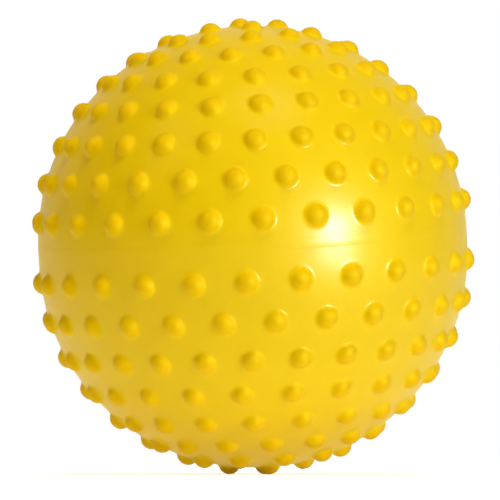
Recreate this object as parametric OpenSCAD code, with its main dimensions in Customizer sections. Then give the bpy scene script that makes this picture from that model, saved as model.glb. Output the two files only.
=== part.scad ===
// Air-filled playground ball of soft vinyl, covered in moulded nubs, at rest on three of them.
// It is drawn about its mould axis first, with its middle at the origin, and then set down on the ground.

/* [Skin] */
// Radius of the smooth skin at the parting line
skin_r = 100; // [90:1:140]
// Thickness of the skin
wall = 2; // [1.5:0.1:4]
// Straight band under the parting line, which makes the lower half deeper than the upper
band_h = 6; // [3:0.5:10]
// Height of the parting-line bead above the skin
bead_h = 0.2; // [0.1:0.05:0.8]
// Radius of the parting-line bead's round section
bead_r = 0.9; // [0.7:0.1:1.4]

/* [Nubs] */
// Height of a nub above the skin
nub_h = 3.8; // [3:0.1:5]
// Radius of a nub's round top
nub_r = 5.2; // [4:0.1:6]
// Radius of the hollow fillet round a nub's foot
foot_r = 1.9; // [1:0.1:3.5]
// Distance along the skin from the parting line to the first ring of nubs
first_ring = 14; // [12:0.5:17]
// Distance along the skin between the rings beside the parting line
ring_pitch = 18.6; // [17:0.1:21]
// Turn of the lower half's nubs against the upper half's
lower_turn = -2; // [-7:0.5:7]

/* [Valve] */
// Diameter of the plug's head
head_d = 11; // [9:0.5:14]
// Thickness of the plug's head at its middle
head_t = 2.2; // [1.6:0.1:3]
// Height of the head's middle above the skin
head_proud = 0.9; // [0.6:0.1:1.4]
// Radius of the crown on top of the head
crown_r = 26; // [20:1:60]
// Diameter of the plug's shank
shank_d = 5; // [4:0.1:6]
// Length of the shank under the head
shank_l = 19; // [16:0.5:24]
// Length of the taper at the shank's end
tip_l = 4; // [2:0.5:6]
// Diameter of the shank's end
tip_d = 3.4; // [2.5:0.1:3.8]
// Width of the seat's face round the head
seat_rim = 2.1; // [1.5:0.1:3]
// Thickness of the seat's flange under the head
seat_floor = 2; // [1.5:0.1:3]
// Length of the seat from the skin's face to its inner end
seat_l = 15; // [10:0.5:16]
// Wall of the seat's neck round the shank
neck_wall = 2.6; // [2:0.1:3]
// Room round the shank in the seat's bore
shank_gap = 0.05; // [0.02:0.01:0.1]
// Room round the head in the seat's recess
head_gap = 0.4; // [0.3:0.05:0.6]

/* [Hidden] */
$fn = 48;
// Facets of the ball's own large circles
large_fn = 128;

// Nubs in each ring, from the parting line to the pole, where one more nub stands
ring_counts = [26, 26, 26, 22, 19, 16, 11, 5];
// Where each ring's first nub stands, in steps of that ring from the front
upper_starts = [0.22, -0.27, 0.18, 0.32, 1/4, -1/4, 1/4, 1/4];
lower_starts = [0, 1/2, 0, -1/4, -0.08, 1/4, 1/2, 1/9];
// Rings at the even pitch beside the parting line; the others share the way to the pole
belt_rings = 4;
rings = len(ring_counts);
// The valve stands in place of one nub on the back of the upper half
valve_ring = 2;
valve_index = ring_counts[valve_ring] / 2;

half_band = band_h / 2;

// Depth of a nub's root in the wall
nub_root = wall / 2;
// The fillet's circle bites this far into the skin, so that it runs out at a clear edge
foot_bite = 0.06;
// Small overlap of the fillet's circle and the top's circle where they meet
blend_lap = 0.02;
// The fillet's circle touches the round top and the ball, so three middles make a triangle
nub_mid = nub_h - nub_r;
mid_side = skin_r + nub_mid;
ball_side = skin_r + foot_r - foot_bite;
top_side = nub_r + foot_r - blend_lap;
foot_mid = (pow(ball_side, 2) - pow(top_side, 2) + pow(mid_side, 2)) / (2 * mid_side) - skin_r;
foot_reach = sqrt(pow(ball_side, 2) - pow(skin_r + foot_mid, 2));
blend_h = nub_mid + (foot_mid - nub_mid) * nub_r / (nub_r + foot_r);

recess_h = head_t - head_proud;
flange_t = recess_h + seat_floor;
recess_d = head_d + 2 * head_gap;
seat_d = recess_d + 2 * seat_rim;
bore_d = shank_d + 2 * shank_gap;
neck_d = bore_d + 2 * neck_wall;
// A cut runs this far past the face that it opens
cut_over = 1;

// Angle at the ball's middle for a length along the skin
function skin_angle(length) = length / skin_r * 180 / PI;
// Angle of ring k above its half's equator; side is 1 for the upper half and -1 for the lower one
function belt_angle(k, side) = skin_angle(first_ring + k * ring_pitch - (side < 0 ? band_h : 0));
function cap_share(k) = (k - belt_rings + 1) / (rings - belt_rings + 1);
function ring_angle(k, side) =
    let (last = belt_angle(belt_rings - 1, side))
    k < belt_rings ? belt_angle(k, side) : last + (90 - last) * cap_share(k);
// Turn of nub i in ring k from the front of the ball, which faces -Y
function nub_turn(k, i, side) =
    let (start = side > 0 ? upper_starts[k] : lower_starts[k])
    (i + start) * 360 / ring_counts[k] + (side > 0 ? 0 : lower_turn);

// The ball lies on its bottom nub and the two nubs of the last ring that are left of its front
last_step = 360 / ring_counts[rings - 1];
rest_turn = nub_turn(rings - 1, 0, -1) - last_step / 2;
last_gap = 90 - ring_angle(rings - 1, -1);
rest_tilt = atan(tan(last_gap / 2) / cos(last_step / 2));
// The middles of those nubs' round tops lie level, one top radius above the ground
rest_h = (mid_side + half_band) * cos(rest_tilt) + nub_r;

// Sets the ball down on the ground, leaning onto its three lowest nubs
module at_rest() {
    heading = rest_turn - 90;
    translate([0, 0, rest_h])
    rotate([0, 0, heading])
    rotate([0, rest_tilt, 0])
    rotate([0, 0, -heading])
    children();
}

// Stands something on the skin, with its own Z axis pointing straight out
module on_skin(angle, turn, side) {
    translate([0, 0, side * half_band])
    rotate([0, 90 - side * angle, turn - 90])
    translate([0, 0, skin_r])
    children();
}

module at_valve() {
    on_skin(ring_angle(valve_ring, 1), nub_turn(valve_ring, valve_index, 1), 1) children();
}

// Right half of the ball's section at radius r: a quarter disc above and below the straight band
module half_section(r) {
    for (side = [-1, 1]) {
        translate([0, side * half_band])
        intersection() {
            circle(r, $fn = large_fn);
            translate([0, side > 0 ? 0 : -r]) square(r);
        }
    }
    translate([0, -half_band]) square([r, band_h]);
}

module bead_section() {
    translate([skin_r + bead_h - bead_r, half_band]) circle(bead_r);
}

module hollow_ball() {
    rotate_extrude($fn = large_fn)
    difference() {
        union() {
            half_section(skin_r);
            bead_section();
        }
        half_section(skin_r - wall);
    }
}

// One nub: a round top that runs out into the skin through a hollow fillet
module nub() {
    rotate_extrude() {
        intersection() {
            translate([0, nub_mid]) circle(nub_r);
            translate([0, -nub_root]) square([nub_r, nub_h + nub_root]);
        }
        difference() {
            translate([0, -nub_root]) square([foot_reach, blend_h + nub_root]);
            translate([foot_reach, foot_mid]) circle(foot_r);
        }
    }
}

module nubs() {
    for (side = [-1, 1]) {
        for (k = [0 : rings - 1]) {
            for (i = [0 : ring_counts[k] - 1]) {
                if (!(side > 0 && k == valve_ring && i == valve_index)) {
                    on_skin(ring_angle(k, side), nub_turn(k, i, side), side) nub();
                }
            }
        }
        on_skin(90, 0, side) nub();
    }
}

module ball_skin() {
    color("gold")
    at_rest()
    difference() {
        union() {
            hollow_ball();
            nubs();
        }
        at_valve() translate([0, 0, -seat_l]) cylinder(d = seat_d, h = seat_l + nub_h);
    }
}

// Half section of the seat: a flange in the port, flush with the skin, and a neck that points inwards
module seat_section() {
    difference() {
        intersection() {
            union() {
                translate([0, -flange_t]) square([seat_d / 2, flange_t]);
                translate([0, -seat_l]) square([neck_d / 2, seat_l]);
            }
            translate([0, -skin_r]) circle(skin_r, $fn = large_fn);
        }
        translate([0, -seat_l - cut_over]) square([bore_d / 2, seat_l + 2 * cut_over]);
        translate([0, -recess_h]) square([recess_d / 2, recess_h + cut_over]);
    }
}

module valve_seat() {
    color("goldenrod")
    at_rest()
    at_valve()
    rotate_extrude()
    seat_section();
}

// Half section of the plug's crowned head
module head_section() {
    intersection() {
        translate([0, -recess_h]) square([head_d / 2, head_t]);
        translate([0, head_proud - crown_r]) circle(crown_r, $fn = large_fn);
    }
}

// Shank of the plug, tapered at its end and rooted in the head
module shank() {
    translate([0, 0, -recess_h - shank_l]) {
        cylinder(d1 = tip_d, d2 = shank_d, h = tip_l);
        translate([0, 0, tip_l]) cylinder(d = shank_d, h = shank_l - tip_l + recess_h);
    }
}

module valve_plug() {
    color("white")
    at_rest()
    at_valve()
    union() {
        rotate_extrude() head_section();
        shank();
    }
}

ball_skin();
valve_seat();
valve_plug();
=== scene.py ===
"""Soft-vinyl playground ball with moulded nubs: its visible pieces, their finishes and a plain white studio.

The ball is drawn about its mould axis first, with its middle at the origin, and is then leaned onto three of
its nubs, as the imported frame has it. Lengths are in metres.
"""
import math

import bmesh
import bpy
from bpy.props import FloatProperty, FloatVectorProperty, IntProperty, PointerProperty
from mathutils import Matrix, Vector


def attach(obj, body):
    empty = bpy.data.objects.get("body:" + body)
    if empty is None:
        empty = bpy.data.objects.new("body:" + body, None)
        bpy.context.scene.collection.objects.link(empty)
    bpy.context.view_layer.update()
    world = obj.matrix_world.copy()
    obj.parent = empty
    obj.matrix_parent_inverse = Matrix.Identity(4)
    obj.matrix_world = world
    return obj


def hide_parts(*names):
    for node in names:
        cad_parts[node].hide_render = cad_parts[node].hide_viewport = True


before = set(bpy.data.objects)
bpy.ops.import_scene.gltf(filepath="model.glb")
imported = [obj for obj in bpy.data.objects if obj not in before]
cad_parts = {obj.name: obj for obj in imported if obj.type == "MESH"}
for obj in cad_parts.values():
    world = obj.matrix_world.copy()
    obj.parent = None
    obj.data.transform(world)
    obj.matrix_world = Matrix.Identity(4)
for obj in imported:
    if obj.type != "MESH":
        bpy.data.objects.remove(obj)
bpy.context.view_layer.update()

bl_info = {
    "name": "Nubbed Playground Ball",
    "version": (1, 0, 0),
    "blender": (4, 5, 0),
    "location": "View3D > Sidebar > Ball",
    "description": "Makes the visible pieces of a nubbed soft-vinyl ball and a plain studio round it",
    "category": "Object",
}

MM = 0.001
BODY_OF_BALL = "ball"
BODY_OF_PLUG = "plug"
UPPER = 1
LOWER = -1

# Nubs in each ring from the parting line to the pole, where one more nub stands
RING_COUNTS = (26, 26, 26, 22, 19, 16, 11, 5)
# Where each ring's first nub stands, in steps of that ring from the front
RING_STARTS = {
    UPPER: (0.22, -0.27, 0.18, 0.32, 1 / 4, -1 / 4, 1 / 4, 1 / 4),
    LOWER: (0, 1 / 2, 0, -1 / 4, -0.08, 1 / 4, 1 / 2, 1 / 9),
}
# Rings at the even pitch beside the parting line; the others share the way to the pole
BELT_RINGS = 4
# The valve stands in place of one nub on the back of the upper half
VALVE_RING = 2
VALVE_INDEX = RING_COUNTS[VALVE_RING] // 2


def length(name, description, millimetres, least=0.0):
    """A size that a user may change, kept in metres."""
    return FloatProperty(
        name=name, description=description, default=millimetres * MM, min=least, precision=5, unit="LENGTH"
    )


def count(name, description, default, most):
    """A whole number from one upwards."""
    return IntProperty(name=name, description=description, default=default, min=1, max=most)


def share(name, description, default, top=1.0):
    """A plain number from nought upwards."""
    return FloatProperty(name=name, description=description, default=default, min=0, max=top)


def turn(name, description, degrees):
    """An angle, kept in radians."""
    return FloatProperty(name=name, description=description, default=math.radians(degrees), unit="ROTATION")


def colour(name, description, *rgb):
    """A colour in linear light."""
    return FloatVectorProperty(
        name=name, description=description, default=rgb, size=3, min=0, max=1, subtype="COLOR"
    )


class SkinSizes(bpy.types.PropertyGroup):
    """Sizes of the ball's skin and of its nubs."""

    skin_radius: length("Skin Radius", "Radius of the smooth skin at the parting line", 100)
    wall: length("Wall", "Thickness of the skin", 2)
    band_height: length("Band Height", "Straight band under the parting line", 6)
    bead_height: length("Bead Height", "Height of the parting-line bead above the skin", 0.045)
    bead_width: length("Bead Width", "Width of the bead's flat oval section", 6.4)
    bead_depth: length("Bead Depth", "Depth of the bead's flat oval section", 0.6)
    bead_rise: length("Bead Rise", "How far the bead's middle lies above the parting line", 1.2)
    nub_height: length("Nub Height", "Height of a nub above the skin", 3.8)
    nub_radius: length("Nub Radius", "Radius of a nub's round top", 5.2)
    foot_radius: length("Foot Radius", "Radius of the hollow fillet round a nub's foot", 1.9)
    first_ring: length("First Ring", "Way along the skin from the parting line to the first ring", 14)
    ring_pitch: length("Ring Pitch", "Way along the skin between rings beside the parting line", 18.6)
    lower_turn: turn("Lower Turn", "Turn of the lower half's nubs against the upper half's", -2)
    outer_ring: length("Outer Ring", "Radius of the mesh ring at a nub's foot", 6.6)
    inner_ring: length("Inner Ring", "Radius of the mesh ring on a nub's top", 4.6)
    least_edge: length("Least Edge", "Shorter edges between the nubs' cells are merged", 3)
    seam_reach: length("Seam Reach", "Points nearer than this are joined round the port", 0.02)
    levels: count("Levels", "How finely the skin's cells are split", 2, 3)
    line_steps: count("Line Steps", "Steps of the bead along the parting line", 360, 1000)
    section_steps: count("Section Steps", "Steps round the bead's section", 48, 200)


class ValveSizes(bpy.types.PropertyGroup):
    """Sizes of the valve's seat and plug."""

    head_diameter: length("Head Diameter", "Diameter of the plug's head", 11)
    head_thickness: length("Head Thickness", "Thickness of the head at its middle", 2.2)
    head_proud: length("Head Proud", "Height of the head's middle above the skin", 0.9)
    crown_radius: length("Crown Radius", "Radius of the crown on top of the head", 26)
    shank_diameter: length("Shank Diameter", "Diameter of the plug's shank", 5)
    shank_length: length("Shank Length", "Length of the shank under the head", 19)
    tip_length: length("Tip Length", "Length of the taper at the shank's end", 4)
    tip_diameter: length("Tip Diameter", "Diameter of the shank's end", 3.4)
    seat_rim: length("Seat Rim", "Width of the seat's face round the head", 2.1)
    seat_floor: length("Seat Floor", "Thickness of the flange under the head", 2)
    seat_length: length("Seat Length", "Length of the seat from the skin's face to its inner end", 15)
    neck_wall: length("Neck Wall", "Wall of the seat's neck round the shank", 2.6)
    shank_gap: length("Shank Gap", "Room round the shank in the bore", 0.05)
    head_gap: length("Head Gap", "Room round the head in the recess", 0.4)
    edge_round: length("Edge Round", "Rounding of the moulded edges", 0.3)
    joint_gap: length("Joint Gap", "Fine joint that shows between the seat and the skin", 0.1)
    port_dip: length("Port Dip", "How far the skin dips where it meets the seat", 0.12)
    gate_radius: length("Gate Radius", "Radius of the moulding mark in the head's middle", 0.9)
    gate_depth: length("Gate Depth", "Depth of the moulding mark", 0.15)


class Finish(bpy.types.PropertyGroup):
    """Colours and gloss of the ball's plastics."""

    skin_yellow: colour("Skin Yellow", "Main colour of the skin", 0.96, 0.655, 0.0)
    skin_amber: colour("Skin Amber", "Deeper colour of the skin's cloudy patches", 0.94, 0.635, 0.0)
    nub_gold: colour("Nub Gold", "Colour of the thicker vinyl in the nubs", 0.92, 0.58, 0.0)
    seat_yellow: colour("Seat Yellow", "Colour of the valve seat", 0.80, 0.47, 0.004)
    plug_white: colour("Plug White", "Main colour of the plug", 0.80, 0.78, 0.71)
    plug_ivory: colour("Plug Ivory", "Colour of the plug's cloudy patches", 0.76, 0.72, 0.62)
    sheen_roughness: share("Sheen Roughness", "Roughness of the broad sheen under the gloss", 0.6)
    sheen_tint: colour("Sheen Tint", "Colour of the broad sheen under the gloss", 1.0, 0.78, 0.04)
    gloss_weight: share("Gloss Weight", "Strength of the gloss on the smooth skin", 0.23)
    gloss_roughness: share("Gloss Roughness", "Roughness of the gloss", 0.28)
    seat_roughness: share("Seat Roughness", "Roughness of the seat where it is clean", 0.36)
    plug_roughness: share("Plug Roughness", "Roughness of the plug where it is not scuffed", 0.34)
    smear_dulling: share("Smear Dulling", "How far smears change the sheen's roughness", 0.08)
    dust_dulling: share("Dust Dulling", "How far dust adds to the seat's roughness", 0.2)
    scuff_dulling: share("Scuff Dulling", "How far scuffs add to the plug's roughness", 0.25)


class Studio(bpy.types.PropertyGroup):
    """Camera and lights."""

    camera_way: length("Camera Distance", "From the camera to the ball's middle", 1900)
    camera_rise: turn("Camera Elevation", "Elevation of the camera seen from the ball's middle", -2.95)
    limb_share: share("Limb Share", "Radius of the skin's outline as a share of the picture's width", 0.4288)
    aim_right: length("Aim Right", "How far the ball's middle lies right of the picture's", 1.3, -1)
    aim_up: length("Aim Up", "How far the ball's middle lies above the picture's", 1.5, -1)
    lamp_way: length("Lamp Distance", "From each lamp to the ball's middle", 1400)
    lamp_side: length("Lamp Side", "Side of each lamp but the one that the skin mirrors", 500)
    key_turn: turn("Key Turn", "How far right of the camera the key lamp stands", 40)
    key_rise: turn("Key Elevation", "Elevation of the key lamp seen from the ball's middle", 11)
    key_power: share("Key Power", "Power of the key lamp in watts", 5.9, 500)
    key_tint: colour("Key Tint", "Colour of the key lamp", 1.0, 1.0, 1.0)
    top_turn: turn("Top Turn", "How far right of the camera the top lamp hangs", 20)
    top_rise: turn("Top Elevation", "Elevation of the top lamp seen from the ball's middle", 70)
    top_power: share("Top Power", "Power of the top lamp in watts", 8.9, 500)
    top_tint: colour("Top Tint", "Colour of the top lamp", 1.0, 1.0, 1.0)
    left_turn: turn("Left Turn", "How far right of the camera the left lamp hangs", -62)
    left_rise: turn("Left Elevation", "Elevation of the left lamp seen from the ball's middle", 45)
    left_power: share("Left Power", "Power of the left lamp in watts", 3.5, 500)
    left_tint: colour("Left Tint", "Colour of the left lamp", 1.0, 0.8, 0.6)
    back_turn: turn("Back Turn", "How far right of the camera the back lamp stands", 180)
    back_rise: turn("Back Elevation", "Elevation of the back lamp seen from the ball's middle", 14)
    back_power: share("Back Power", "Power of the back lamp in watts", 3.6, 500)
    back_tint: colour("Back Tint", "Colour of the back lamp", 1.0, 1.0, 1.0)
    glare_turn: turn("Glare Turn", "How far right of the camera the lamp stands that the skin mirrors", 42.4)
    glare_rise: turn("Glare Elevation", "Elevation of the lamp that the skin mirrors", 3.2)
    glare_power: share("Glare Power", "Power of the lamp that the skin mirrors in watts", 56.0, 500)
    glare_tint: colour("Glare Tint", "Colour of the lamp that the skin mirrors", 1.0, 1.0, 1.0)
    glare_wide: length("Glare Width", "Width of the lamp that the skin mirrors", 330)
    glare_tall: length("Glare Height", "Height of the lamp that the skin mirrors", 300)
    bounce_power: share("Bounce Power", "Power of the bounce card on the floor in watts", 0.9, 500)
    bounce_tint: colour("Bounce Tint", "Colour of the bounce card's light", 0.82, 1.0, 1.0)
    bounce_size: length("Bounce Size", "Side of the bounce card", 1200)
    bounce_ahead: length("Bounce Ahead", "How far the bounce card's middle lies in front of the ball", 200)
    bounce_height: length("Bounce Height", "Height of the bounce card above the floor", 2)
    room_light: share("Room Light", "Strength of the white room round the ball", 0.13, 5)
    room_tint: colour("Room Tint", "Colour of the room's soft light", 1.0, 0.88, 0.70)
    room_gloss: share("Room Gloss", "Strength of the room behind the ball in the skin's gloss", 1.0, 5)
    room_start: share("Room Start", "How far behind the ball the mirrored room begins, as a share", 0.15)
    floor_side: length("Floor Side", "Side of the floor", 12000)
    floor_grey: share("Floor Grey", "How much light the floor gives back", 0.92)
    floor_lift: share("Floor Lift", "Light added to the floor near the ball, as it is seen", 0.54)
    fade_start: length("Fade Start", "Way from the ball at which the floor begins to fade to white", 350)
    fade_end: length("Fade End", "Way from the ball at which the floor is white to the camera", 1400)


class Wire:
    """A node's output socket, which takes part in Python sums."""

    def __init__(self, board, socket):
        self.board = board
        self.socket = socket

    def __add__(self, other):
        return self.board.math("ADD", self, other)

    def __radd__(self, other):
        return self.board.math("ADD", other, self)

    def __sub__(self, other):
        return self.board.math("SUBTRACT", self, other)

    def __rsub__(self, other):
        return self.board.math("SUBTRACT", other, self)

    def __mul__(self, other):
        return self.board.math("MULTIPLY", self, other)

    def __rmul__(self, other):
        return self.board.math("MULTIPLY", other, self)

    def __truediv__(self, other):
        return self.board.math("DIVIDE", self, other)

    def __neg__(self):
        return self.board.math("MULTIPLY", self, -1.0)

    def __lt__(self, other):
        return self.board.math("LESS_THAN", self, other)

    def __gt__(self, other):
        return self.board.math("GREATER_THAN", self, other)

    def root(self):
        """Square root, with anything under nought taken as nought."""
        return self.board.math("SQRT", self.board.math("MAXIMUM", self, 0.0))


class Made:
    """A node that was added, whose outputs are picked by name or number."""

    def __init__(self, board, node):
        self.board = board
        self.node = node

    def __getitem__(self, key):
        return Wire(self.board, self.node.outputs[key])


class Board:
    """A node tree with one way to add any node."""

    def __init__(self, tree):
        self.tree = tree
        tree.nodes.clear()

    def add(self, kind, settings=None, sockets=None):
        """Adds a node, sets its settings, and then sets or links its sockets."""
        node = self.tree.nodes.new(kind)
        for name, value in (settings or {}).items():
            setattr(node, name, value)
        for key, value in (sockets or {}).items():
            if isinstance(value, Wire):
                self.tree.links.new(value.socket, node.inputs[key])
            else:
                node.inputs[key].default_value = value
        return Made(self, node)

    def through(self, kind, geometry, sockets=None, settings=None):
        """Sends a geometry through a node, and returns the geometry that comes out."""
        return self.add(kind, settings, {0: geometry, **(sockets or {})})[0]

    def both(self, a, b):
        return self.add("FunctionNodeBooleanMath", {"operation": "AND"}, {0: a, 1: b})["Boolean"]

    def xyz(self, **parts):
        """A vector from its parts, of which those not given are nought."""
        return self.add("ShaderNodeCombineXYZ", None, parts)["Vector"]

    def math(self, operation, *values):
        return self.add("ShaderNodeMath", {"operation": operation}, dict(enumerate(values)))[0]

    def vector(self, operation, *values):
        """Vector maths whose answer is a vector."""
        return self.add("ShaderNodeVectorMath", {"operation": operation}, dict(enumerate(values)))["Vector"]

    def dot(self, a, b):
        return self.add("ShaderNodeVectorMath", {"operation": "DOT_PRODUCT"}, {0: a, 1: b})["Value"]

    def scaled(self, vector, factor):
        sockets = {0: vector, "Scale": factor}
        return self.add("ShaderNodeVectorMath", {"operation": "SCALE"}, sockets)["Vector"]

    def mixed(self, factor, a, b):
        """Mix of two colours."""
        ends = {0: factor, 6: self.rgba(a), 7: self.rgba(b)}
        return self.add("ShaderNodeMix", {"data_type": "RGBA"}, ends)[2]

    @staticmethod
    def rgba(value):
        return value if isinstance(value, Wire) else (*value, 1.0)

    def inputs(self, *sockets):
        """Gives a geometry tree its named inputs, and returns their wires by name."""
        for name, kind in sockets:
            self.tree.interface.new_socket(name=name, in_out="INPUT", socket_type=kind)
        made = self.add("NodeGroupInput")
        return {name: made[name] for name, _ in sockets}

    def output(self, geometry):
        self.tree.interface.new_socket(name="Geometry", in_out="OUTPUT", socket_type="NodeSocketGeometry")
        self.add("NodeGroupOutput", None, {"Geometry": geometry})


def half_band(sizes):
    return sizes.band_height / 2


def ring_angle(sizes, ring, side):
    """Angle of a ring above its half's equator."""

    def belt_angle(k):
        band = sizes.band_height if side == LOWER else 0
        return (sizes.first_ring + k * sizes.ring_pitch - band) / sizes.skin_radius

    if ring < BELT_RINGS:
        return belt_angle(ring)
    last = belt_angle(BELT_RINGS - 1)
    return last + (math.pi / 2 - last) * (ring - BELT_RINGS + 1) / (len(RING_COUNTS) - BELT_RINGS + 1)


def nub_turn(sizes, ring, index, side):
    """Turn of a nub from the front of the ball, which faces -Y."""
    step = 2 * math.pi / RING_COUNTS[ring]
    return (index + RING_STARTS[side][ring]) * step + (sizes.lower_turn if side == LOWER else 0)


def on_skin(sizes, angle, heading, side):
    """Place on the skin, in the mould's frame, with Z pointing straight out."""
    return (
        Matrix.Translation((0, 0, side * half_band(sizes)))
        @ Matrix.Rotation(heading - math.pi / 2, 4, "Z")
        @ Matrix.Rotation(math.pi / 2 - side * angle, 4, "Y")
        @ Matrix.Translation((0, 0, sizes.skin_radius))
    )


def valve_place(sizes):
    angle = ring_angle(sizes, VALVE_RING, UPPER)
    return on_skin(sizes, angle, nub_turn(sizes, VALVE_RING, VALVE_INDEX, UPPER), UPPER)


def nub_places(sizes):
    """Every nub's place on the skin, and the valve's, each with 1 for a nub and 0 for the valve."""
    for side in (UPPER, LOWER):
        for ring, nubs in enumerate(RING_COUNTS):
            angle = ring_angle(sizes, ring, side)
            for index in range(nubs):
                place = on_skin(sizes, angle, nub_turn(sizes, ring, index, side), side)
                is_valve = (side, ring, index) == (UPPER, VALVE_RING, VALVE_INDEX)
                yield place.translation, 0.0 if is_valve else 1.0
        yield on_skin(sizes, math.pi / 2, 0, side).translation, 1.0


def rest_pose(sizes):
    """Leans the ball onto its bottom nub and two nubs of the last lower ring."""
    last = len(RING_COUNTS) - 1
    step = 2 * math.pi / RING_COUNTS[last]
    heading = nub_turn(sizes, last, 0, LOWER) - step / 2 - math.pi / 2
    gap = math.pi / 2 - ring_angle(sizes, last, LOWER)
    lean = math.atan(math.tan(gap / 2) / math.cos(step / 2))
    top_middle = sizes.skin_radius + sizes.nub_height - sizes.nub_radius
    height = (top_middle + half_band(sizes)) * math.cos(lean) + sizes.nub_radius
    return (
        Matrix.Translation((0, 0, height))
        @ Matrix.Rotation(heading, 4, "Z")
        @ Matrix.Rotation(lean, 4, "Y")
        @ Matrix.Rotation(-heading, 4, "Z")
    )


def seat_radius(valve):
    return valve.head_diameter / 2 + valve.head_gap + valve.seat_rim


def link(name, mesh):
    obj = bpy.data.objects.new(name, mesh)
    bpy.context.scene.collection.objects.link(obj)
    return obj


def grown(name, base, tree, values):
    """Runs a geometry tree on a mesh and keeps the result as a plain mesh, set down in its resting place."""
    obj = link(name, base)
    modifier = obj.modifiers.new("Grow", "NODES")
    modifier.node_group = tree
    for item in tree.interface.items_tree:
        if item.in_out == "INPUT" and item.name in values:
            modifier[item.identifier] = values[item.name]
    graph = bpy.context.evaluated_depsgraph_get()
    mesh = bpy.data.meshes.new_from_object(obj.evaluated_get(graph), depsgraph=graph)
    obj.modifiers.clear()
    obj.data = mesh
    mesh.name = name
    mesh.transform(rest_pose(bpy.context.scene.ball_skin))
    return obj


def point_mesh(name, places):
    """A mesh of loose points with each point's share in an attribute."""
    points, shares = zip(*places)
    mesh = bpy.data.meshes.new(name)
    mesh.from_pydata(points, [], [])
    attribute = mesh.attributes.new("nub_share", "FLOAT", "POINT")
    attribute.data.foreach_set("value", shares)
    return mesh


class SkinField:
    """Sums on a geometry board that tell where a point lies on the skin and by which nub."""

    def __init__(self, board, wires):
        self.board = board
        self.wires = wires

    def axis_foot(self, place):
        """Point of the mould axis that a place of the skin is measured from."""
        height = self.board.add("ShaderNodeSeparateXYZ", None, {0: place})["Z"]
        half = self.wires["Half Band"]
        clamped = self.board.math("MINIMUM", self.board.math("MAXIMUM", height, -half), half)
        return self.board.xyz(Z=clamped)

    def outward(self, place):
        """Direction straight out of the skin at a place."""
        return self.board.vector("NORMALIZE", self.board.vector("SUBTRACT", place, self.axis_foot(place)))

    def on_round(self, place, radius):
        """The place moved straight in or out to that radius."""
        return self.board.vector("ADD", self.axis_foot(place), self.board.scaled(self.outward(place), radius))

    def nearest(self, place, value, kind):
        """A value of the nub nearest to a place."""
        points = self.wires["Nub Places"]
        index = self.board.add(
            "GeometryNodeSampleNearest", {"domain": "POINT"}, {"Geometry": points, "Sample Position": place}
        )["Index"]
        settings = {"data_type": kind, "domain": "POINT"}
        picked = {"Geometry": points, "Value": value, "Index": index}
        return self.board.add("GeometryNodeSampleIndex", settings, picked)["Value"]

    def position(self):
        return self.board.add("GeometryNodeInputPosition")["Position"]

    def named(self, name, kind):
        made = self.board.add("GeometryNodeInputNamedAttribute", {"data_type": kind}, {"Name": name})
        return made["Attribute"]

    def nub_share(self, place):
        return self.nearest(place, self.named("nub_share", "FLOAT"), "FLOAT")

    def nearest_nub(self, place):
        return self.nearest(place, self.position(), "FLOAT_VECTOR")

    def cells_of(self, valve):
        """Picks the valve's cell, or else the nubs' cells."""
        operation = "LESS_THAN" if valve else "GREATER_THAN"
        sides = {0: self.named("cell_share", "FLOAT"), 1: 0.5}
        return self.board.add("FunctionNodeCompare", {"operation": operation}, sides)["Result"]

    def across(self, place, nub):
        """How far a place lies along a nub's axis, and its vector square to that axis."""
        axis = self.outward(nub)
        offset = self.board.vector("SUBTRACT", place, nub)
        along = self.board.dot(offset, axis)
        return along, self.board.vector("SUBTRACT", offset, self.board.scaled(axis, along))


def skin_tree():
    """Geometry tree that grows the nubbed skin on a set of nub places.

    The places are joined into cells, one for each nub. Each cell gets two rings, is split finely and is
    lifted to the nub's profile. The valve's cell is left open, and an inner wall closes the skin there.
    """
    board = Board(bpy.data.node_groups.new("Nubbed Skin", "GeometryNodeTree"))
    number = "NodeSocketFloat"
    wires = board.inputs(
        ("Nub Places", "NodeSocketGeometry"),
        ("Skin Radius", number),
        ("Half Band", number),
        ("Wall", number),
        ("Nub Height", number),
        ("Nub Radius", number),
        ("Foot Radius", number),
        ("Port Radius", number),
        ("Port Dip", number),
        ("Outer Ring", number),
        ("Inner Ring", number),
        ("Least Edge", number),
        ("Seam Reach", number),
        ("Levels", "NodeSocketInt"),
        ("Vinyl", "NodeSocketMaterial"),
    )
    field = SkinField(board, wires)
    cells = nub_cells(board, field)
    outer = lifted_skin(board, field, cells)
    inner = inner_wall(board, field, cells)
    joined = board.tree.nodes.new("GeometryNodeJoinGeometry")
    for part in (inner, outer):
        board.tree.links.new(part.socket, joined.inputs[0])
    whole = Made(board, joined)["Geometry"]
    whole = board.through("GeometryNodeMergeByDistance", whole, {"Distance": wires["Seam Reach"]})
    return finished(board, whole, wires["Vinyl"])


def finished(board, geometry, material):
    """Ends a geometry tree: smooth shading, real geometry and its material."""
    geometry = board.through("GeometryNodeSetShadeSmooth", geometry)
    geometry = board.through("GeometryNodeRealizeInstances", geometry)
    board.output(board.through("GeometryNodeSetMaterial", geometry, {"Material": material}))
    return board.tree


def kept(board, geometry, name, kind, domain, value):
    """Keeps a value on a geometry under a name."""
    settings = {"data_type": kind, "domain": domain}
    sockets = {"Name": name, "Value": value}
    return board.through("GeometryNodeStoreNamedAttribute", geometry, sockets, settings)


def moved(board, geometry, sockets):
    return board.through("GeometryNodeSetPosition", geometry, sockets)


def nub_cells(board, field):
    """One flat cell for each nub, which keeps its nub's place and share."""
    hull = board.through("GeometryNodeConvexHull", field.wires["Nub Places"])
    cells = board.through("GeometryNodeDualMesh", hull)
    cells = board.through("GeometryNodeMergeByDistance", cells, {"Distance": field.wires["Least Edge"]})
    here = field.position()
    cells = kept(board, cells, "cell_nub", "FLOAT_VECTOR", "FACE", field.nearest_nub(here))
    return kept(board, cells, "cell_share", "FLOAT", "FACE", field.nub_share(here))


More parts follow.
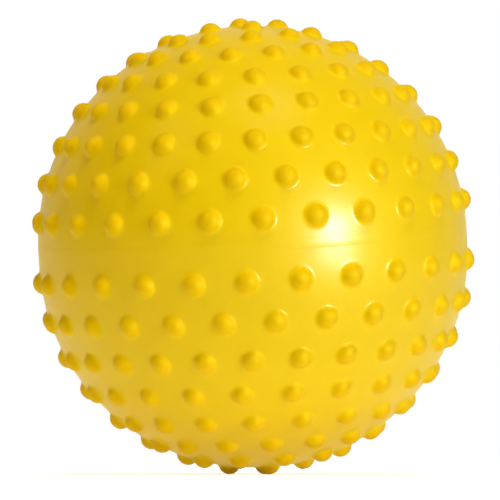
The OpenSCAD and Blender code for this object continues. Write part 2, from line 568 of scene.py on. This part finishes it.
def ringed(board, field, cells, selection, nub_radius):
    """Insets the selected cells to a round ring about their nubs; gives the mesh and the cells' tops."""
    made = board.add(
        "GeometryNodeExtrudeMesh",
        {"mode": "FACES"},
        {"Mesh": cells, "Selection": selection, "Offset Scale": 0.0, "Individual": True},
    )
    nub = field.named("cell_nub", "FLOAT_VECTOR")
    _, across = field.across(field.position(), nub)
    is_nub = field.named("cell_share", "FLOAT")
    radius = is_nub * nub_radius + (1 - is_nub) * field.wires["Port Radius"]
    place = board.vector("ADD", nub, board.scaled(board.vector("NORMALIZE", across), radius))
    return moved(board, made["Mesh"], {"Selection": made["Top"], "Position": place}), made["Top"]


def opened(board, field, mesh, tops):
    """Takes away the top of the valve's cell."""
    port = board.both(tops, field.cells_of(valve=True))
    return board.through("GeometryNodeDeleteGeometry", mesh, {"Selection": port}, {"domain": "FACE"})


def smoothly_split(board, field, mesh):
    return board.through("GeometryNodeSubdivisionSurface", mesh, {"Level": field.wires["Levels"]})


def rim_edges(board):
    """The open edges round the port."""
    faces = board.add("GeometryNodeInputMeshEdgeNeighbors")["Face Count"]
    settings = {"data_type": "INT", "operation": "EQUAL"}
    return board.add("FunctionNodeCompare", settings, {2: faces, 3: 1})["Result"]


def rim_height(wires, radius):
    """Height of the port's rim above the middle of the ball's upper half, on a ball of that radius."""
    port = wires["Port Radius"]
    return (radius * radius - port * port).root()


def true_rim(board, field, mesh, height):
    """Puts the port's rim on a true circle about the valve's axis, at a height along it."""
    here = field.position()
    valve = field.nearest_nub(here)
    _, across = field.across(here, valve)
    rim = board.vector("ADD", field.axis_foot(valve), board.scaled(field.outward(valve), height))
    sideways = board.scaled(board.vector("NORMALIZE", across), field.wires["Port Radius"])
    rim = board.vector("ADD", rim, sideways)
    return moved(board, mesh, {"Selection": rim_edges(board), "Position": rim})


def nub_lift(board, field, place, nub):
    """How far a place of the skin is lifted along its nub's axis: a round top and a hollow fillet."""
    wires = field.wires
    top, foot, ball = wires["Nub Radius"], wires["Foot Radius"], wires["Skin Radius"]
    along, across = field.across(place, nub)
    off = board.dot(across, across).root()
    top_mid = wires["Nub Height"] - top
    mid_side, ball_side, top_side = ball + top_mid, ball + foot, top + foot
    foot_mid = (ball_side * ball_side - top_side * top_side + mid_side * mid_side) / (2 * mid_side) - ball
    foot_reach = (ball_side * ball_side - (ball + foot_mid) * (ball + foot_mid)).root()
    dome = top_mid + (top * top - off * off).root()
    fillet = foot_mid - (foot * foot - (foot_reach - off) * (foot_reach - off)).root()
    on_dome = off < foot_reach * top / top_side
    on_nub = off < foot_reach * ball / ball_side
    return (fillet + (dome - fillet) * on_dome - along) * on_nub * field.nub_share(place)


def lifted_skin(board, field, cells):
    """The outer skin with its nubs, and the port's wall."""
    wires = field.wires
    mesh, tops = ringed(board, field, cells, True, wires["Outer Ring"])
    nub_tops = board.both(tops, field.cells_of(valve=False))
    mesh, _ = ringed(board, field, mesh, nub_tops, wires["Inner Ring"])
    mesh = smoothly_split(board, field, opened(board, field, mesh, tops))
    mesh = moved(board, mesh, {"Position": field.on_round(field.position(), wires["Skin Radius"])})
    here = field.position()
    nub = field.nearest_nub(here)
    lift = nub_lift(board, field, here, nub) / wires["Nub Height"]
    mesh = kept(board, mesh, "nub_lift", "FLOAT", "POINT", lift)
    kept_lift = field.named("nub_lift", "FLOAT") * wires["Nub Height"]
    mesh = moved(board, mesh, {"Offset": board.scaled(field.outward(nub), kept_lift)})
    outer_height = rim_height(wires, wires["Skin Radius"]) - wires["Port Dip"]
    inner_height = rim_height(wires, wires["Skin Radius"] - wires["Wall"])
    mesh = true_rim(board, field, mesh, outer_height)
    valve = field.nearest_nub(field.position())
    inwards = board.scaled(field.outward(valve), inner_height - outer_height)
    wall = {"Selection": rim_edges(board), "Offset": inwards, "Offset Scale": 1.0}
    return board.through("GeometryNodeExtrudeMesh", mesh, wall, {"mode": "EDGES"})


def inner_wall(board, field, cells):
    """The plain inside of the skin, facing the air."""
    wires = field.wires
    mesh, tops = ringed(board, field, cells, field.cells_of(valve=True), wires["Outer Ring"])
    mesh = smoothly_split(board, field, opened(board, field, mesh, tops))
    inside = wires["Skin Radius"] - wires["Wall"]
    mesh = moved(board, mesh, {"Position": field.on_round(field.position(), inside)})
    mesh = true_rim(board, field, mesh, rim_height(wires, inside))
    return board.through("GeometryNodeFlipFaces", mesh)


def ring_curve(board, steps, radius):
    sockets = {"Resolution": steps, "Radius": radius}
    return board.add("GeometryNodeCurvePrimitiveCircle", {"mode": "RADIUS"}, sockets)["Curve"]


def bead_tree():
    """Geometry tree that sweeps a flat oval section along the parting line."""
    board = Board(bpy.data.node_groups.new("Parting Bead", "GeometryNodeTree"))
    number = "NodeSocketFloat"
    wires = board.inputs(
        ("Base", "NodeSocketGeometry"),
        ("Line Radius", number),
        ("Line Height", number),
        ("Bead Width", number),
        ("Bead Depth", number),
        ("Line Steps", "NodeSocketInt"),
        ("Section Steps", "NodeSocketInt"),
        ("Vinyl", "NodeSocketMaterial"),
    )
    line = ring_curve(board, wires["Line Steps"], wires["Line Radius"])
    # The section is a circle of diameter one, stretched to the oval
    section = ring_curve(board, wires["Section Steps"], 0.5)
    oval = board.xyz(X=wires["Bead Depth"], Y=wires["Bead Width"], Z=1.0)
    section = board.through("GeometryNodeTransform", section, {"Scale": oval})
    bead = board.through("GeometryNodeCurveToMesh", line, {"Profile Curve": section})
    bead = moved(board, bead, {"Offset": board.xyz(Z=wires["Line Height"])})
    return finished(board, bead, wires["Vinyl"])


def rounded(corners, closed):
    """Points of a section given by its corners, each a radius, a height and the rounding of that corner."""
    arc_steps = 4
    points = []
    for i, (radius, height, rounding) in enumerate(corners):
        here = Vector((radius, height))
        is_end = not closed and i in (0, len(corners) - 1)
        if is_end or not rounding:
            points.append(here)
            continue
        back = (Vector(corners[i - 1][:2]) - here).normalized()
        ahead = (Vector(corners[(i + 1) % len(corners)][:2]) - here).normalized()
        half = back.angle(ahead) / 2
        middle = here + (back + ahead).normalized() * rounding / math.sin(half)
        first = here + back * rounding / math.tan(half) - middle
        last = here + ahead * rounding / math.tan(half) - middle
        points += [middle + rounding * first.slerp(last, step / arc_steps) for step in range(arc_steps + 1)]
    return points


def turned(name, section, closed, place, material):
    """Turns a section round the Z axis and sets the mesh down in its place on the resting ball."""
    segments = 72
    sharp_angle = math.radians(50)
    turns = [2 * math.pi * i / segments for i in range(segments)]
    build = bmesh.new()
    rings = []
    for radius, height in section:
        if radius > 0:
            points = [(radius * math.cos(a), radius * math.sin(a), height) for a in turns]
            rings.append([build.verts.new(point) for point in points])
        else:
            rings.append([build.verts.new((0, 0, height))] * segments)
    pairs = list(zip(rings, rings[1:]))
    if closed:
        pairs.append((rings[-1], rings[0]))
    for low, high in pairs:
        for i in range(segments):
            corners = (low[i - 1], low[i], high[i], high[i - 1])
            build.faces.new(dict.fromkeys(corners))
    bmesh.ops.recalc_face_normals(build, faces=build.faces)
    for face in build.faces:
        face.smooth = True
    mesh = bpy.data.meshes.new(name)
    build.to_mesh(mesh)
    build.free()
    mesh.set_sharp_from_angle(angle=sharp_angle)
    mesh.materials.append(material)
    mesh.transform(rest_pose(bpy.context.scene.ball_skin) @ place)
    return link(name, mesh)


def seat_section(skin, valve):
    """Section of the seat: a flange in the port, level with the skin, and a neck that points inwards."""
    edge = valve.edge_round
    bore = valve.shank_diameter / 2 + valve.shank_gap
    neck = bore + valve.neck_wall
    recess = valve.head_diameter / 2 + valve.head_gap
    rim = seat_radius(valve) - valve.joint_gap
    shelf = valve.head_proud - valve.head_thickness
    under = shelf - valve.seat_floor

    def skin_height(radius):
        return math.sqrt(skin.skin_radius**2 - radius**2) - skin.skin_radius

    corners = [
        (bore, -valve.seat_length, edge),
        (neck, -valve.seat_length, edge),
        (neck, under, edge),
        (rim, under, edge),
        (rim, skin_height(rim), edge),
        (recess, skin_height(recess), edge),
        (recess, shelf, edge),
        (bore, shelf, edge),
    ]
    return rounded(corners, True)


def plug_section(valve):
    """Section of the plug, from its tip to the moulding mark in the middle of its crowned head."""
    edge = valve.edge_round
    shelf = valve.head_proud - valve.head_thickness
    tip = shelf - valve.shank_length
    shank = valve.shank_diameter / 2
    head = valve.head_diameter / 2
    gate = valve.gate_radius

    def crown(radius):
        return valve.head_proud - valve.crown_radius + math.sqrt(valve.crown_radius**2 - radius**2)

    crown_steps = 8

    def crown_point(step):
        radius = gate + (head - gate) * step / crown_steps
        return radius, crown(radius), 0

    corners = [
        (0, tip, 0),
        (valve.tip_diameter / 2, tip, edge),
        (shank, tip + valve.tip_length, edge),
        (shank, shelf, edge),
        (head, shelf, edge),
        (head, crown(head), edge),
        *(crown_point(step) for step in range(crown_steps - 1, 0, -1)),
        (gate, crown(gate), edge / 2),
        (gate - edge, crown(gate) - valve.gate_depth, edge / 2),
        (0, crown(0) - valve.gate_depth, 0),
    ]
    return rounded(corners, False)


# Features of each noise to a metre
CLOUDS = 16
SMEARS = 45
RIPPLES = 260
GRAINS = 1900
DUST_SPOTS = 420
FLECKS = 2600
WAX_SPOTS = 240
SCUFFS = 3200
FIBRES = 900
# Shares of a nub's height over which the gloss fades out and the colour deepens
GLOSS_FADE = (0.02, 0.09)
GOLD_FADE = (0.06, 0.4)
# Height of the vinyl's fine grain as a share of its ripples' height
GRAIN_SHARE = 0.12
# How much of their second colour the dusty seat and the cloudy plug take on at most
DUST_TINT = 0.5
WAX_TINT = 0.6
# Scuffs are drawn out fourfold along Y
SCUFF_STRETCH = (1.0, 0.25, 1.0)
# How much darker than the paper its fibres are
FIBRE_SHADE = (0.01, 0.01, 0.012)


def new_finish(name):
    """A new material, its board and a point's place on the piece."""
    material = bpy.data.materials.new(name)
    material.use_nodes = True
    board = Board(material.node_tree)
    return material, board, board.add("ShaderNodeTexCoord")["Object"]


def noise(board, place, scale, detail):
    """Soft noise of about nought to one, with features a metre divided by the scale across."""
    return board.add("ShaderNodeTexNoise", None, {"Vector": place, "Scale": scale, "Detail": detail})[0]


def eased(board, value, start, end):
    """Rises smoothly from nought to one as a value goes from start to end."""
    ends = {"Value": value, "From Min": start, "From Max": end}
    return board.add("ShaderNodeMapRange", {"interpolation_type": "SMOOTHSTEP"}, ends)["Result"]


def bumped(board, height, strength, millimetres):
    """Normal of a surface with fine relief."""
    relief = {"Strength": strength, "Distance": millimetres * MM, "Height": height}
    return board.add("ShaderNodeBump", None, relief)["Normal"]


def shown(board, sockets):
    """Ends a material in a plastic shader."""
    shader = board.add("ShaderNodeBsdfPrincipled", None, sockets)["BSDF"]
    board.add("ShaderNodeOutputMaterial", None, {"Surface": shader})


def ball_vinyl(finish):
    """Glossy soft vinyl: cloudy where it is thin, deeper in the nubs, with faint ripples from the mould."""
    material, board, place = new_finish("ball_vinyl")
    skin = board.mixed(noise(board, place, CLOUDS, detail=3), finish.skin_yellow, finish.skin_amber)
    lift = board.add("ShaderNodeAttribute", {"attribute_name": "nub_lift"})["Fac"]
    on_nub = eased(board, lift, *GLOSS_FADE)
    smear = (noise(board, place, SMEARS, detail=3) - 0.5) * finish.smear_dulling
    ripple = noise(board, place, RIPPLES, detail=2)
    grain = noise(board, place, GRAINS, detail=1) * GRAIN_SHARE
    shown(
        board,
        {
            "Base Color": board.mixed(eased(board, lift, *GOLD_FADE), skin, finish.nub_gold),
            "Roughness": finish.sheen_roughness + smear,
            "Normal": bumped(board, ripple + grain, strength=0.25, millimetres=0.12),
            "IOR": 1.5,
            "Specular Tint": tuple(finish.sheen_tint) + (1.0,),
            "Coat Weight": (1 - on_nub) * finish.gloss_weight,
            "Coat Roughness": finish.gloss_roughness,
        },
    )
    return material


def seat_satin(finish):
    """Satin vinyl of the seat, a shade deeper than the skin, a little dusty."""
    material, board, place = new_finish("seat_satin")
    dust = noise(board, place, DUST_SPOTS, detail=4)
    tint = board.mixed(dust * DUST_TINT, finish.seat_yellow, finish.skin_yellow)
    roughness = finish.seat_roughness + dust * finish.dust_dulling
    bump = bumped(board, noise(board, place, FLECKS, detail=2), strength=0.2, millimetres=0.05)
    shown(board, {"Base Color": tint, "Roughness": roughness, "Normal": bump})
    return material


def plug_wax(finish):
    """Waxy natural plastic of the plug, with fine scuffs."""
    material, board, place = new_finish("plug_wax")
    wax = noise(board, place, WAX_SPOTS, detail=3)
    scuff = noise(board, board.vector("MULTIPLY", place, SCUFF_STRETCH), SCUFFS, detail=3)
    tint = board.mixed(wax * WAX_TINT, finish.plug_white, finish.plug_ivory)
    roughness = finish.plug_roughness + scuff * finish.scuff_dulling
    bump = bumped(board, scuff, strength=0.15, millimetres=0.04)
    shown(board, {"Base Color": tint, "Roughness": roughness, "Normal": bump})
    return material


def finish_named(name, maker):
    """The scene's own copy of a finish, made once."""
    return bpy.data.materials.get(name) or maker(bpy.context.scene.ball_finish)


class BALL_OT_nubbed_skin(bpy.types.Operator):
    """Grow the hollow skin with all its nubs and the valve's port"""

    bl_idname = "ball.nubbed_skin"
    bl_label = "Nubbed Skin"

    def execute(self, context):
        sizes = context.scene.ball_skin
        valve = context.scene.ball_valve
        values = {
            "Skin Radius": sizes.skin_radius,
            "Half Band": half_band(sizes),
            "Wall": sizes.wall,
            "Nub Height": sizes.nub_height,
            "Nub Radius": sizes.nub_radius,
            "Foot Radius": sizes.foot_radius,
            "Port Radius": seat_radius(valve),
            "Port Dip": valve.port_dip,
            "Outer Ring": sizes.outer_ring,
            "Inner Ring": sizes.inner_ring,
            "Least Edge": sizes.least_edge,
            "Seam Reach": sizes.seam_reach,
            "Levels": sizes.levels,
            "Vinyl": finish_named("ball_vinyl", ball_vinyl),
        }
        skin = grown("nubbed_skin", point_mesh("nub_places", nub_places(sizes)), skin_tree(), values)
        if not skin.data.polygons:
            raise RuntimeError("The skin has no faces")
        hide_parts("ball_skin")
        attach(skin, BODY_OF_BALL)
        return {"FINISHED"}


class BALL_OT_parting_bead(bpy.types.Operator):
    """Sweep the fine bead along the mould's parting line"""

    bl_idname = "ball.parting_bead"
    bl_label = "Parting Bead"

    def execute(self, context):
        sizes = context.scene.ball_skin
        values = {
            "Line Radius": sizes.skin_radius + sizes.bead_height - sizes.bead_depth / 2,
            "Line Height": half_band(sizes) + sizes.bead_rise,
            "Bead Width": sizes.bead_width,
            "Bead Depth": sizes.bead_depth,
            "Line Steps": sizes.line_steps,
            "Section Steps": sizes.section_steps,
            "Vinyl": finish_named("ball_vinyl", ball_vinyl),
        }
        bead = grown("parting_bead", bpy.data.meshes.new("parting_line"), bead_tree(), values)
        if not bead.data.polygons:
            raise RuntimeError("The bead has no faces")
        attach(bead, BODY_OF_BALL)
        return {"FINISHED"}


class BALL_OT_valve_seat(bpy.types.Operator):
    """Turn the valve seat that is bonded into the skin's port"""

    bl_idname = "ball.valve_seat"
    bl_label = "Valve Seat"

    def execute(self, context):
        skin = context.scene.ball_skin
        section = seat_section(skin, context.scene.ball_valve)
        satin = finish_named("seat_satin", seat_satin)
        seat = turned("seat_of_valve", section, True, valve_place(skin), satin)
        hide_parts("valve_seat")
        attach(seat, BODY_OF_BALL)
        return {"FINISHED"}


class BALL_OT_valve_plug(bpy.types.Operator):
    """Turn the push-in plug that closes the valve"""

    bl_idname = "ball.valve_plug"
    bl_label = "Valve Plug"

    def execute(self, context):
        section = plug_section(context.scene.ball_valve)
        place = valve_place(context.scene.ball_skin)
        plug = turned("plug_of_valve", section, False, place, finish_named("plug_wax", plug_wax))
        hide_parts("valve_plug")
        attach(plug, BODY_OF_PLUG)
        return {"FINISHED"}


def floor_finish(studio):
    """White paper: the camera sees it a little lighter than it is, so that only the ball's shadow shows."""
    material, board, place = new_finish("white_paper")
    grey = studio.floor_grey
    fibre = tuple(grey - shade for shade in FIBRE_SHADE)
    tint = board.mixed(noise(board, place, FIBRES, detail=3), (grey, grey, grey), fibre)
    paper = board.add("ShaderNodeBsdfDiffuse", None, {"Color": tint})["BSDF"]
    path = board.add("ShaderNodeLightPath")
    seen = board.math("MAXIMUM", path["Is Camera Ray"], path["Is Glossy Ray"])
    seen = board.math("MAXIMUM", seen, path["Is Transmission Ray"])
    off = board.add("ShaderNodeVectorMath", {"operation": "LENGTH"}, {0: place})["Value"]
    fade = {
        "Value": off,
        "From Min": studio.fade_start,
        "From Max": studio.fade_end,
        "To Min": studio.floor_lift,
    }
    lift = board.add("ShaderNodeMapRange", {"interpolation_type": "SMOOTHSTEP"}, fade)["Result"]
    glow = board.add("ShaderNodeEmission", None, {"Strength": seen * lift})["Emission"]
    both = board.add("ShaderNodeAddShader", None, {0: paper, 1: glow})["Shader"]
    board.add("ShaderNodeOutputMaterial", None, {"Surface": both})
    return material


def white_room(studio):
    """World that is white to the camera, lights the ball softly, and is mirrored only behind the ball."""
    world = bpy.data.worlds.new("white_room")
    world.use_nodes = True
    board = Board(world.node_tree)
    way = board.add("ShaderNodeTexCoord")["Generated"]
    depth = board.add("ShaderNodeSeparateXYZ", None, {0: way})["Y"]
    behind = eased(board, depth, studio.room_start, 1.0) * studio.room_gloss
    path = board.add("ShaderNodeLightPath")
    camera = path["Is Camera Ray"]
    mirrored = board.math("MAXIMUM", path["Is Glossy Ray"], path["Is Transmission Ray"])
    soft = (1 - camera) * (1 - mirrored) * studio.room_light
    strength = camera + (1 - camera) * mirrored * behind + soft
    tint = board.mixed(soft > 0, (1, 1, 1), studio.room_tint)
    light = board.add("ShaderNodeBackground", None, {"Color": tint, "Strength": strength})["Background"]
    board.add("ShaderNodeOutputWorld", None, {"Surface": light})
    return world


def softbox(name, power, tint, sides, place, way):
    """A flat lamp at a place, with its back turned to a way."""
    data = bpy.data.lights.new(name, "AREA")
    data.shape = "RECTANGLE"
    data.energy = power
    data.color = tint
    data.size, data.size_y = sides
    lamp = bpy.data.objects.new(name, data)
    lamp.location = place
    lamp.rotation_euler = way.to_track_quat("Z", "Y").to_euler()
    lamp.visible_camera = False
    bpy.context.scene.collection.objects.link(lamp)
    return lamp


class BALL_OT_studio(bpy.types.Operator):
    """Set up the white floor, the lamps and the camera"""

    bl_idname = "ball.studio"
    bl_label = "Studio"

    def execute(self, context):
        scene = context.scene
        studio = scene.ball_studio
        sizes = scene.ball_skin
        middle = rest_pose(sizes).translation
        self.lay_floor(studio)
        scene.world = white_room(studio)
        self.set_lamps(studio, middle)
        scene.camera = self.set_camera(studio, sizes, middle)
        scene.view_settings.view_transform = "Standard"
        return {"FINISHED"}

    @staticmethod
    def lay_floor(studio):
        half = studio.floor_side / 2
        mesh = bpy.data.meshes.new("paper_floor")
        corners = [(-half, -half, 0), (half, -half, 0), (half, half, 0), (-half, half, 0)]
        mesh.from_pydata(corners, [], [(0, 1, 2, 3)])
        mesh.materials.append(floor_finish(studio))
        link("paper_floor", mesh)

    @staticmethod
    def set_lamps(studio, middle):
        """Four lamps that light the ball, one that only its gloss mirrors, and a bounce card on the floor."""
        plain = (studio.lamp_side, studio.lamp_side)
        mirrored = (studio.glare_wide, studio.glare_tall)
        parts = ("_turn", "_rise", "_power", "_tint")
        for name in ("key", "top", "left", "back", "glare"):
            heading, rise, power, tint = (getattr(studio, name + part) for part in parts)
            level = Vector((math.sin(heading), -math.cos(heading), 0))
            way = level * math.cos(rise) + Vector((0, 0, math.sin(rise)))
            is_glare = name == "glare"
            sides = mirrored if is_glare else plain
            lamp = softbox(name, power, tint, sides, middle + way * studio.lamp_way, way)
            lamp.visible_glossy = is_glare
            lamp.visible_diffuse = not is_glare
        place = Vector((0, -studio.bounce_ahead, studio.bounce_height))
        card = (studio.bounce_size, studio.bounce_size)
        bounce = softbox("bounce", studio.bounce_power, studio.bounce_tint, card, place, Vector((0, 0, -1)))
        bounce.visible_glossy = False

    @staticmethod
    def set_camera(studio, sizes, middle):
        rise = studio.camera_rise
        right = Vector((1, 0, 0))
        back = Vector((0, -math.cos(rise), math.sin(rise)))
        up = back.cross(right)
        data = bpy.data.cameras.new("camera")
        limb_slope = sizes.skin_radius / math.sqrt(studio.camera_way**2 - sizes.skin_radius**2)
        data.lens = data.sensor_width * studio.limb_share / limb_slope
        place = middle + back * studio.camera_way - right * studio.aim_right - up * studio.aim_up
        camera = bpy.data.objects.new("camera", data)
        camera.matrix_world = Matrix.Translation(place) @ Matrix((right, up, back)).transposed().to_4x4()
        bpy.context.scene.collection.objects.link(camera)
        return camera


class BALL_PT_workshop(bpy.types.Panel):
    """Lists the steps that make the ball"""

    bl_idname = "BALL_PT_workshop"
    bl_label = "Nubbed Ball"
    bl_space_type = "VIEW_3D"
    bl_region_type = "UI"
    bl_category = "Ball"

    def draw(self, context):
        for step in STEPS:
            self.layout.operator(step.bl_idname)
        for group in SETTINGS:
            box = self.layout.box()
            for name in SETTINGS[group].__annotations__:
                box.prop(getattr(context.scene, group), name)


STEPS = (BALL_OT_nubbed_skin, BALL_OT_parting_bead, BALL_OT_valve_seat, BALL_OT_valve_plug, BALL_OT_studio)
SETTINGS = {"ball_skin": SkinSizes, "ball_valve": ValveSizes, "ball_finish": Finish, "ball_studio": Studio}
CLASSES = (*SETTINGS.values(), *STEPS, BALL_PT_workshop)


def register():
    for cls in CLASSES:
        bpy.utils.register_class(cls)
    for name, group in SETTINGS.items():
        setattr(bpy.types.Scene, name, PointerProperty(type=group))


def unregister():
    for name in SETTINGS:
        delattr(bpy.types.Scene, name)
    for cls in reversed(CLASSES):
        bpy.utils.unregister_class(cls)


def main():
    register()
    bpy.ops.ball.nubbed_skin()
    bpy.ops.ball.parting_bead()
    bpy.ops.ball.valve_seat()
    bpy.ops.ball.valve_plug()
    bpy.ops.ball.studio()


if __name__ == "__main__":
    main()
